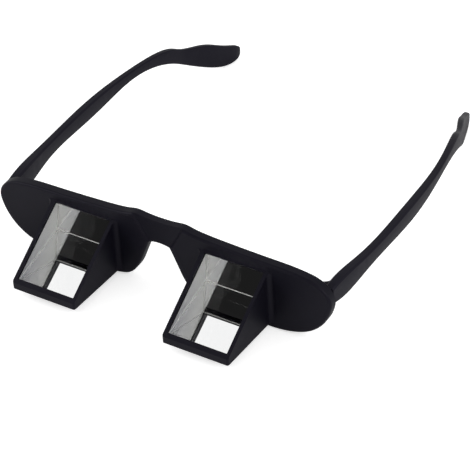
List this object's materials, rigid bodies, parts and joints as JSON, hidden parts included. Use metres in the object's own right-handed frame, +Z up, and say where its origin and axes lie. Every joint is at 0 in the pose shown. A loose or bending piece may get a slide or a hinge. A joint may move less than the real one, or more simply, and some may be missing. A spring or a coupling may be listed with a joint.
{
  "type": "prism bed glasses",
  "caption": "Prism bed glasses: a black moulded front with two wedge housings, each holding a glass prism, and two temples that fold on hinges.",
  "frame": {"origin": "middle of the whole object's box in X and Y, on the surface that the glasses stand on", "axes": "+X towards the wearer's left along the front, +Y from the front towards the ears, +Z up"},
  "size_m": [0.143, 0.1708, 0.0311],
  "materials": {
    "frame_plastic": "satin black moulded plastic",
    "temple_plastic": "satin black moulded plastic",
    "prism_glass": "polished optical glass with finely ground sides",
    "mirror_silver": "silvered",
    "hinge_metal": "fine satin steel",
    "screw_metal": "bright turned steel"
  },
  "bodies": {
    "front": {"front_frame": "frame_plastic", "prism_left": "prism_glass", "prism_right": "prism_glass", "prism_mirror_left": "mirror_silver", "prism_mirror_right": "mirror_silver", "prism_retainer_left": "frame_plastic", "prism_retainer_right": "frame_plastic", "front_hinge_left": "hinge_metal", "front_hinge_right": "hinge_metal", "leaf_screws_left": "screw_metal", "leaf_screws_right": "screw_metal", "hinge_screw_left": "screw_metal", "hinge_screw_right": "screw_metal"},
    "left_temple": {"temple_left": "temple_plastic", "temple_hinge_left": "hinge_metal"},
    "right_temple": {"temple_right": "temple_plastic", "temple_hinge_right": "hinge_metal"}
  },
  "joints": [
    {"name": "left_temple_fold", "type": "hinge", "parent": "front", "child": "left_temple", "pos_m": [0.06125, -0.05095, 0.02], "axis": [0, 0, 1], "range_deg": [0, 70]},
    {"name": "right_temple_fold", "type": "hinge", "parent": "front", "child": "right_temple", "pos_m": [-0.06125, -0.05095, 0.02], "axis": [0, 0, -1], "range_deg": [0, 86]}
  ]
}
